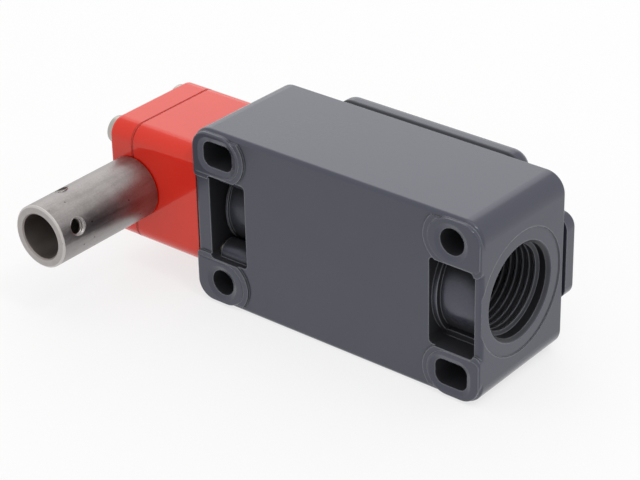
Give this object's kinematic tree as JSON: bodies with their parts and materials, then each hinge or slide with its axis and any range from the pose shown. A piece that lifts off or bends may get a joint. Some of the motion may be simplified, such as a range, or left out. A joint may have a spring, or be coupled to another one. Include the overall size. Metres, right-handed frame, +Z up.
{
  "type": "safety hinge switch",
  "caption": "Safety switch with a long dark grey housing, a threaded conduit entry and a red head whose hollow shaft turns with a guard's hinge and opens the contacts.",
  "frame": {"origin": "centre of the four fixing holes, on the mounting plane of the housing's pads", "axes": "+X along the housing to the conduit entry, -Y out of the mounting plane, +Z up across the housing as it lies in the picture"},
  "size_m": [0.1006, 0.0624, 0.0408],
  "materials": {
    "grey_coat": "die-cast, dark blue-grey satin powder coat",
    "red_coat": "die-cast, glossy red coat",
    "stainless": "turned and dulled stainless steel",
    "bright_steel": "zinc-plated steel",
    "bronze": "sintered bronze",
    "brass": "stamped brass",
    "black_rubber": "moulded nitrile rubber",
    "pale_moulding": "moulded glass-filled plastic",
    "clear_moulding": "moulded translucent plastic",
    "dark_moulding": "moulded black plastic"
  },
  "bodies": {
    "body": {"housing": "grey_coat", "cover": "grey_coat", "cover_gasket": "black_rubber", "cover_screws": "bright_steel", "head_base": "red_coat", "head_cap": "red_coat", "head_screws": "bright_steel", "head_gasket": "black_rubber", "shaft_seal": "black_rubber", "front_bush": "bronze", "rear_bush": "bronze", "plunger_guide": "bronze", "plunger_seal": "black_rubber", "return_spring": "bright_steel", "contact_block": "pale_moulding", "block_lid": "clear_moulding", "fixed_contacts": "brass", "terminal_clamps": "bright_steel", "terminal_screws": "bright_steel", "block_screws": "bright_steel", "earth_clamp": "brass", "earth_screw": "brass"},
    "shaft": {"hollow_shaft": "stainless", "thrust_washer": "bright_steel", "cam": "stainless", "cam_pin": "bright_steel"},
    "plunger": {"plunger": "stainless", "contact_carrier": "dark_moulding", "contact_bridges": "brass", "contact_springs": "bright_steel"}
  },
  "joints": [
    {"name": "shaft_turn", "type": "hinge", "parent": "body", "child": "shaft", "pos_m": [-0.0552, 0.0149, 0], "axis": [0, 1, 0], "range_deg": [0, 180]},
    {"name": "plunger_slide", "type": "slide", "parent": "body", "child": "plunger", "axis": [1, 0, 0], "range_m": [0, 0.0016], "deforming": ["return_spring"]}
  ],
  "couplings": [
    {"joint": "plunger_slide", "follows": "shaft_turn", "m_per_rad": 0.000509}
  ]
}
